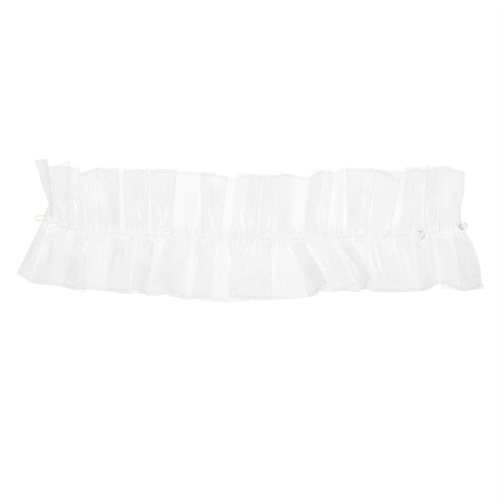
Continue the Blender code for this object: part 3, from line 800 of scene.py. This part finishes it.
def cloth_noise(along, across, detail):
    """Soft noise from 0 to 1 over the cloth, in spots about as large as one unit each way."""
    spot = along.node("ShaderNodeCombineXYZ", X=along, Y=across)
    return along.node("ShaderNodeTexNoise", {"noise_dimensions": "2D"}, Vector=spot, Scale=1.0,
                      Detail=detail, Roughness=0.5)


organza, start, finish_organza = new_material("organza")
place = start.node("ShaderNodeAttribute", {"attribute_name": "strip_place"}, out="Vector")
along_cloth, across_cloth, from_edge = (
    start.node("ShaderNodeSeparateXYZ", out=axis, Vector=place) for axis in "XYZ"
)
warp, weft = (
    start.math("SINE", at * (2 * math.pi / THREAD_PITCH)) for at in (along_cloth, across_cloth)
)
weave = (warp + weft) / 2
slub = cloth_noise(along_cloth / SLUB_WIDTH, across_cloth / SLUB_LENGTH, detail=1.0)
cloud = cloth_noise(along_cloth / CLOUD_WIDTH, across_cloth / CLOUD_LENGTH, detail=2.0)
is_lower = start.math("LESS_THAN", across_cloth, 0.0)
hem_lines = EDGE_DENSER * line_at(from_edge, 0.0, EDGE_LINE_WIDTH) + STITCH_DENSER * line_at(
    from_edge, STITCH_LINE, STITCH_LINE_WIDTH
)
layer = start.node("ShaderNodeAttribute", {"attribute_name": "cover"}, out="Fac")
thickness = layer * (1 + THREAD_CLOSER * weave) * (1 + SLUB_DENSER * (slub * 2 - 1)) * (
    1 + CLOUD_DENSER * (cloud * 2 - 1)
) * (1 + hem_lines * (UPPER_LINES + (1 - UPPER_LINES) * is_lower))
relief = start.node("ShaderNodeBump", Strength=WEAVE_RELIEF, Distance=WEAVE_DEPTH,
                    Height=weave + slub)
finish_organza(
    Base_Color=ORGANZA_WHITE, Alpha=1 - OPEN_SHARE ** thickness, Roughness=0.5, Normal=relief,
    Sheen_Weight=0.15, Sheen_Roughness=0.4,
)
dress(ruffle, organza, "organza", "ruffle")

# ---------------------------------------------------------------- the stitches
# Fine white polyester thread. Two long rows of gathering stitches hold the gathers, and a row of
# short stitches holds each hem down. Each stitch goes into the cloth at both ends.
# The second colour is painted shade of the twisted plies, mixed in where the thread's waves and fuzz
# are low.
THREAD_WHITE, THREAD_PAINTED_SHADE = (0.97, 0.97, 0.96, 1.0), (0.88, 0.88, 0.87, 1.0)
THREAD_SHEER = 0.4          # how much each side of a fine white thread hides
THREAD_PAINTED_GLOW = 0.03          # painted glow, standing in for light that it passes on from below
UP = np.array([0.0, 0.0, 1.0])
GATHER_STITCH, GATHER_STITCH_PITCH = 2.6, 3.4
GATHER_STITCH_START = 1.0   # from the strip's end to the first stitch
HEM_STITCH, HEM_STITCH_PITCH = 1.9, 2.7
GATHER_THREAD, HEM_THREAD = 0.18, 0.13      # diameters of the threads
GATHER_THREAD_SIDES, HEM_THREAD_SIDES = 6, 4
GATHER_STITCH_SINKS, HEM_STITCH_SINKS = 0.35, 0.1   # how far their ends go into the cloth
STITCH_BENDS = 0.15         # share of a stitch's length where it has come up out of the cloth
TONE_WAVES = 100.0          # scale of the soft waves of tone along the threads, 6 mm long, which also mix in the plies' painted shade
FUZZ_SIZE = 0.4             # of the thread's loose fibres
TWIST_RELIEF, TWIST_DEPTH = 0.4, 0.0001     # the depth is in metres


def across_path(path):
    """Unit vectors to the side of a path and over it, at each of its points."""
    ahead = np.gradient(path, axis=0)
    ahead /= np.linalg.norm(ahead, axis=1, keepdims=True)
    side = np.cross(ahead, UP)
    side /= np.linalg.norm(side, axis=1, keepdims=True)
    return side, np.cross(side, ahead)


def tube(path, width, sides):
    """A round tube along a path: its points, and its faces with both ends closed."""
    path = np.asarray(path, float)
    side, over = across_path(path)
    turn = 2 * math.pi * np.arange(sides)[None, :, None] / sides
    rings = path[:, None] + width / 2 * (np.cos(turn) * side[:, None] + np.sin(turn) * over[:, None])
    faces = [list(range(sides))[::-1], [(len(path) - 1) * sides + k for k in range(sides)]]
    for ring in range(len(path) - 1):
        for k in range(sides):
            near, far = ring * sides, (ring + 1) * sides
            faces.append([near + k, near + (k + 1) % sides, far + (k + 1) % sides, far + k])
    return rings.reshape(-1, 3), faces


def joined_mesh(name, tubes):
    """One mesh out of many tubes."""
    points, faces = [], []
    for tube_points, tube_faces in tubes:
        faces += [[len(points) + i for i in corners] for corners in tube_faces]
        points += tube_points.tolist()
    return smooth_mesh(name, np.array(points), faces)


def gather_stitches(row):
    """Long stitches that lie on the tops of the gathers."""
    line = face[:, np.argmin(np.abs(away[0] - row))]
    shares = (0.0, STITCH_BENDS, 0.5, 1.0 - STITCH_BENDS, 1.0)
    drops = (GATHER_STITCH_SINKS, 0.0, 0.0, 0.0, GATHER_STITCH_SINKS)
    made = []
    start_x = line[0, 0] + GATHER_STITCH_START
    while start_x + GATHER_STITCH < line[-1, 0]:
        under = line[(line[:, 0] > start_x) & (line[:, 0] < start_x + GATHER_STITCH)]
        y, top = under[:, 1].mean(), under[:, 2].max() + GATHER_THREAD / 2
        path = [(start_x + GATHER_STITCH * s, y, top - drop) for s, drop in zip(shares, drops)]
        made.append(tube(path, GATHER_THREAD, GATHER_THREAD_SIDES))
        start_x += GATHER_STITCH_PITCH
    return made


def hem_stitches(index):
    """Short stitches along a line of the sheet, on its right side."""
    line, out = face[:, index], -down[:, index]
    along = cloth_length(line)
    shares = np.array([0.0, STITCH_BENDS, 1.0 - STITCH_BENDS, 1.0])
    lift = np.array([-HEM_STITCH_SINKS, HEM_THREAD / 2, HEM_THREAD / 2, -HEM_STITCH_SINKS])[:, None]
    made = []
    for start_at in np.arange(HEM_STITCH, along[-1] - 2 * HEM_STITCH, HEM_STITCH_PITCH):
        at = start_at + HEM_STITCH * shares
        path = [[np.interp(s, along, line[:, k]) for k in range(3)] for s in at]
        away_from = [[np.interp(s, along, out[:, k]) for k in range(3)] for s in at]
        made.append(tube(np.array(path) + lift * np.array(away_from), HEM_THREAD, HEM_THREAD_SIDES))
    return made


thread, start, finish_thread = new_material("thread")
spot = start.node("ShaderNodeTexCoord", out="Object")
waves = start.node("ShaderNodeTexWave", {"bands_direction": "DIAGONAL"}, Vector=spot,
                   Scale=TONE_WAVES, Distortion=1.5, Detail=1.0)
fuzz = start.node("ShaderNodeTexNoise", Vector=spot, Scale=1 / (FUZZ_SIZE * MM), Detail=2.0)
thread_tone = start.node("ShaderNodeMix", {"data_type": "RGBA"}, out=2, _0=(waves + fuzz) / 2,
                         _6=THREAD_PAINTED_SHADE, _7=THREAD_WHITE)
twist = start.node("ShaderNodeBump", Strength=TWIST_RELIEF, Distance=TWIST_DEPTH, Height=waves + fuzz)
# The thread's emission is a painted glow in its own tone.
finish_thread(Base_Color=thread_tone, Roughness=0.7, Alpha=THREAD_SHEER, Normal=twist,
              Emission_Color=thread_tone, Emission_Strength=THREAD_PAINTED_GLOW)

seam = add_piece("gathering_stitches", joined_mesh(
    "gathering_stitches", [stitch for row in SEAM_ROWS for stitch in gather_stitches(row)]
))
dress(seam, thread, "loop_thread")
stitch_line = EDGE_ROWS[::-1].index(STITCH_LINE)
hem_seams = add_piece("hem_stitches", joined_mesh(
    "hem_stitches", hem_stitches(stitch_line) + hem_stitches(face.shape[1] - 1 - stitch_line)
))
dress(hem_seams, thread, "loop_thread")

# ---------------------------------------------------------------- the button loop
# A short loop of round three-ply cord at the left end of the gathers, which goes over a button.
# Its two legs lie on the gathers and are sewn down with a bar of close stitches.
LOOP_CORD = 1.1
LOOP_LENGTH = 10.5
LOOP_WIDTH = 4.2            # between the middles of its two legs
LOOP_TIP = (-201.6, 11.6)
LOOP_TILT = math.radians(4.0)
LOOP_REST_Z = 0.65
LOOP_SEAT_Z = 4.4
LOOP_RISE_EASE = 0.8
LOOP_PLIES = 3
LOOP_PLY, LOOP_PLY_SIDES = 0.56, 10     # diameter of one ply, and the sides of its tube
LOOP_TWIST = 2.3            # length of one turn of the plies
LOOP_STEPS = 160
BAR_STITCHES = 9
BAR_START, BAR_END = 6.0, 8.8   # how far in from the tip's turn the bar of stitches lies
BAR_OVER = 0.25             # how far its stitches reach past the legs
BAR_SINKS = 0.8             # how far their ends go down into the cloth
BAR_BENDS = (0.2, 0.1)      # where they turn down: how far in from their ends, and how high
BAR_SAG = 0.25              # how far they sag between the legs
BAR_WAVER, BAR_WAVES = 0.1, 9.0     # how far from even their places are, and how that changes


def loop_point(x, y):
    """A place on the loop, from x in from the middle of its turn and y across its legs."""
    leg = LOOP_LENGTH - LOOP_WIDTH / 2
    z = mix(LOOP_REST_Z, LOOP_SEAT_Z, max(0.0, x / leg) ** LOOP_RISE_EASE)
    tilt_x, tilt_y = math.cos(LOOP_TILT), math.sin(LOOP_TILT)
    return (
        LOOP_TIP[0] + LOOP_WIDTH / 2 + x * tilt_x - y * tilt_y,
        LOOP_TIP[1] + x * tilt_y + y * tilt_x,
        z,
    )


def loop_route():
    """Points along the loop's middle, in from one leg's end, round the turn and out again."""
    radius = LOOP_WIDTH / 2
    leg = LOOP_LENGTH - radius
    half_turn = math.pi * radius
    route = []
    for at in np.linspace(0.0, 2 * leg + half_turn, LOOP_STEPS):
        if at < leg:
            x, y = leg - at, radius
        elif at < leg + half_turn:
            angle = (at - leg) / radius
            x, y = -math.sin(angle) * radius, math.cos(angle) * radius
        else:
            x, y = at - leg - half_turn, -radius
        route.append(loop_point(x, y))
    return np.array(route)


def twisted_cord(route):
    """The plies of a cord, laid round one another along its route."""
    side, over = across_path(route)
    turn = 2 * math.pi * cloth_length(route)[:, None] / LOOP_TWIST
    out = (LOOP_CORD - LOOP_PLY) / 2
    for ply in range(LOOP_PLIES):
        at = turn + 2 * math.pi * ply / LOOP_PLIES
        yield tube(route + out * (np.cos(at) * side + np.sin(at) * over), LOOP_PLY, LOOP_PLY_SIDES)


def bar_stitches():
    """Close stitches across both legs of the loop."""
    reach = (LOOP_WIDTH + LOOP_CORD) / 2 + BAR_OVER
    over_leg = (LOOP_CORD + GATHER_THREAD) / 2
    half = [(reach, -BAR_SINKS), (reach - BAR_BENDS[0], BAR_BENDS[1]), (LOOP_WIDTH / 2, over_leg)]
    profile = [(-across, rise) for across, rise in half] + [(0.0, over_leg - BAR_SAG)] + half[::-1]
    for x in np.linspace(BAR_START, BAR_END, BAR_STITCHES):
        at_x = x + BAR_WAVER * math.sin(BAR_WAVES * x)
        path = [np.array(loop_point(at_x, across)) + UP * rise for across, rise in profile]
        yield tube(path, GATHER_THREAD, GATHER_THREAD_SIDES)


loop = add_piece("button_loop_cord", joined_mesh("button_loop_cord", twisted_cord(loop_route())))
dress(loop, thread, "loop_thread", "button_loop")
bar = add_piece("loop_bar_stitches", joined_mesh("loop_bar_stitches", bar_stitches()))
dress(bar, thread, "loop_thread")

# ---------------------------------------------------------------- the buttons
# Two small round buttons of clear acrylic with cut facets, one at the right end of the gathers
# and one further in. Each stands on a short shank of the thread that sews it on, wound round.
BUTTON_DIAMETER = 8.5
BUTTON_HEIGHT = 3.6
BUTTON_SIDES = 12
BUTTON_TABLE = 4.7          # across the flat on top
BUTTON_CROWN = 7.0          # across the middle of the sloping facets
BUTTON_CROWN_RISE = 0.6     # share of their height that lies below there
BUTTON_BACK = 6.8           # across the flat underside
BUTTON_GIRDLE = 0.8         # height of the upright edge
BUTTON_BACK_RISE = 0.75     # from the underside up to that edge
SHANK_DIAMETER = 2.6
SHANK_HEIGHT = 0.9
BINDING_TURNS = 3
BINDING_STEPS = 16          # in one turn
BINDING_STARTS = 0.25       # how far below the foot of the shank its turns start
TAIL_TURNS = (math.radians(250.0), math.radians(285.0))     # where the thread's ends leave it
TAIL = ((1.4, 0.3), (3.0, 0.0), (5.6, -0.4))    # an end's places: out from the shank, and up
FACET_MERGE = math.radians(1.0)     # faces that turn less than this from each other are one
LEVEL = 0.95                # how far up the normal of a level facet points
# Sloping facets that face given directions are tinted dark: painted dark reflections, under a soft haze
# of random tone.
FACET_DARKEST, FACET_CLEAREST = 0.5, 0.98
HAZE_SHARE, HAZE_SIZE = 0.2, 1.2    # how much of the tone is a soft haze, and its spots' size
POLISH, HAZE_ROUGHER = 0.04, 0.06   # roughness of the clearest spots, and what haze adds
CLEAR_INDEX = 1.49          # of refraction, in acrylic
END_BUTTON = (200.2, 4.5, 1.7)
INNER_BUTTON = (160.0, -4.5, 3.9)
END_PAINTED_DARK = (35.0, -110.0, 175.0)    # directions, in degrees, of the facets with painted dark reflections
INNER_PAINTED_DARK = (-50.0, -14.0, 95.0)
DARK_SPREAD = 24.0
INNER_SEEN = 0.1            # how much shows of the inner button, which is sunk in the gathers


def faceted(name, levels):
    """A cut solid: the hull of rings of corners, given as (width, height, share of a step)."""
    shape = bmesh.new()
    for width, height, shift in levels:
        for side in range(BUTTON_SIDES):
            angle = 2 * math.pi * (side + shift) / BUTTON_SIDES
            corner = Vector((math.cos(angle) * width / 2, math.sin(angle) * width / 2, height))
            shape.verts.new(corner * MM)
    bmesh.ops.convex_hull(shape, input=shape.verts)
    bmesh.ops.recalc_face_normals(shape, faces=shape.faces)
    bmesh.ops.dissolve_limit(shape, angle_limit=FACET_MERGE, verts=shape.verts, edges=shape.edges)
    mesh = bpy.data.meshes.new(name)
    shape.to_mesh(mesh)
    shape.free()
    return mesh


def painted_facet_shade(facet, dark):
    """Painted dark reflections: 0 for a sloping facet that faces a dark direction, and up to 1 for any
    other one.
    """
    faces = math.degrees(math.atan2(facet.normal.y, facet.normal.x))
    off = min(abs((faces - direction + 180.0) % 360.0 - 180.0) for direction in dark)
    level = abs(facet.normal.z) > LEVEL
    return 1.0 if level else 1.0 - math.exp(-((off / DARK_SPREAD) ** 2))


def clear_button(name, at, dark, seen):
    """The cut part of a button in one mesh, with a painted shade for each facet and how much it shows.
    """
    edge = SHANK_HEIGHT + BUTTON_BACK_RISE
    crown = mix(edge + BUTTON_GIRDLE, BUTTON_HEIGHT, BUTTON_CROWN_RISE)
    mesh = faceted(name, (
        (BUTTON_BACK, SHANK_HEIGHT, 0.0),
        (BUTTON_DIAMETER, edge, 0.5),
        (BUTTON_DIAMETER, edge + BUTTON_GIRDLE, 0.5),
        (BUTTON_CROWN, crown, 0.0),
        (BUTTON_TABLE, BUTTON_HEIGHT, 0.5),
    ))
    tones = np.array([painted_facet_shade(facet, dark) for facet in mesh.polygons])
    mesh.attributes.new("facet", "FLOAT", "FACE").data.foreach_set("value", tones)
    mesh.attributes.new("shows", "FLOAT", "FACE").data.foreach_set("value", mix(1.0, seen, tones))
    mesh.transform(Matrix.Translation(Vector(at) * MM))
    return add_piece(name, mesh)


def binding(at):
    """Turns of thread round a button's shank, with its two ends down into the cloth."""
    middle = np.array(at)
    steps = np.arange(BINDING_TURNS * BINDING_STEPS + 1)
    angle = 2 * math.pi * steps / BINDING_STEPS
    wide = (SHANK_DIAMETER + GATHER_THREAD) / 2
    height = SHANK_HEIGHT * steps / steps[-1] - BINDING_STARTS
    turns = np.stack([wide * np.cos(angle), wide * np.sin(angle), height], axis=1)
    yield tube(middle + turns, GATHER_THREAD, GATHER_THREAD_SIDES)
    for turn in TAIL_TURNS:
        out_along = np.array([math.cos(turn), math.sin(turn), 0.0])
        tail = [middle + out_along * out + UP * z for out, z in TAIL]
        yield tube(tail, GATHER_THREAD, GATHER_THREAD_SIDES)


clear, start, finish_clear = new_material("clear_plastic")
facet = start.node("ShaderNodeAttribute", {"attribute_name": "facet"}, out="Fac")
spot = start.node("ShaderNodeTexCoord", out="Object")
haze = start.node("ShaderNodeTexNoise", Vector=spot, Scale=1 / (HAZE_SIZE * MM), Detail=2.0)
# clearness carries the facets' painted dark reflections, mixed with a random haze.
clearness = facet * (1 - HAZE_SHARE) + haze * HAZE_SHARE
clear_tone = start.node("ShaderNodeMix", {"data_type": "RGBA"}, out=2, _0=clearness,
                        _6=(FACET_DARKEST,) * 3 + (1.0,), _7=(FACET_CLEAREST,) * 3 + (1.0,))
shows = start.node("ShaderNodeAttribute", {"attribute_name": "shows"}, out="Fac")
finish_clear(Base_Color=clear_tone, Roughness=POLISH + haze * HAZE_ROUGHER, Alpha=shows,
             Transmission_Weight=1.0, IOR=CLEAR_INDEX)

for name, at, dark, seen in (
    ("end_button", END_BUTTON, END_PAINTED_DARK, 1.0),
    ("inner_button", INNER_BUTTON, INNER_PAINTED_DARK, INNER_SEEN),
):
    dress(clear_button(name + "_clear", at, dark, seen), clear, "clear_plastic", name)
    bound = add_piece(name + "_thread", joined_mesh(name + "_thread", binding(at)))
    dress(bound, thread, "loop_thread")

# ---------------------------------------------------------------- the table and the light
# A plain pale table that glows evenly, like the top of a light box, so sheer cloth reads by how
# many layers of it lie on one another. One large soft light stands off to the upper left.
TABLE_HALF = 6.0            # metres, from here to the end of the file
TABLE_GREY = 0.09
TABLE_GLOW = 0.935
STUDIO_LIGHT = 0.78
SOFTBOX_SIZE = 1.2
SOFTBOX_POWER = 1.5
SOFTBOX_PLACE = (-0.9, 0.8, 1.5)
LAYERS_SEEN = 40            # sheer layers that one line of sight may pass
PICTURE_WIDTH = 0.470
PICTURE_MIDDLE_Y = -0.0181
LENS, SENSOR = 250.0, 36.0

table_mesh = bpy.data.meshes.new("table_top")
table_corners = [(x * TABLE_HALF, y * TABLE_HALF, 0.0) for x, y in ((-1, -1), (1, -1), (1, 1), (-1, 1))]
table_mesh.from_pydata(table_corners, [], [(0, 1, 2, 3)])
table = add_piece("table_top", table_mesh)
paint, _, finish_paint = new_material("pale_table")
finish_paint(
    Base_Color=(TABLE_GREY, TABLE_GREY, TABLE_GREY, 1.0), Roughness=0.9, Specular_IOR_Level=0.0,
    Emission_Color=(1.0, 1.0, 1.0, 1.0), Emission_Strength=TABLE_GLOW,
)
table_mesh.materials.append(paint)

world = bpy.data.worlds.new("studio")
bpy.context.scene.world = world
world.use_nodes = True
world.node_tree.nodes["Background"].inputs["Color"].default_value = (1.0, 1.0, 1.0, 1.0)
world.node_tree.nodes["Background"].inputs["Strength"].default_value = STUDIO_LIGHT
lamp = bpy.data.lights.new("softbox", "AREA")
lamp.shape = "SQUARE"
lamp.size = SOFTBOX_SIZE
lamp.energy = SOFTBOX_POWER
softbox = add_piece("softbox", lamp)
softbox.location = SOFTBOX_PLACE
softbox.rotation_mode = "QUATERNION"
softbox.rotation_quaternion = (-Vector(SOFTBOX_PLACE)).to_track_quat("-Z", "Y")

camera_data = bpy.data.cameras.new("camera")
camera_data.lens = LENS
camera_data.sensor_width = SENSOR
camera_data.clip_end = 100.0
camera = add_piece("camera", camera_data)
camera.location = (0.0, PICTURE_MIDDLE_Y, PICTURE_WIDTH * LENS / SENSOR)
bpy.context.scene.camera = camera
bpy.context.scene.view_settings.view_transform = "Standard"
bpy.context.scene.cycles.transparent_max_bounces = LAYERS_SEEN
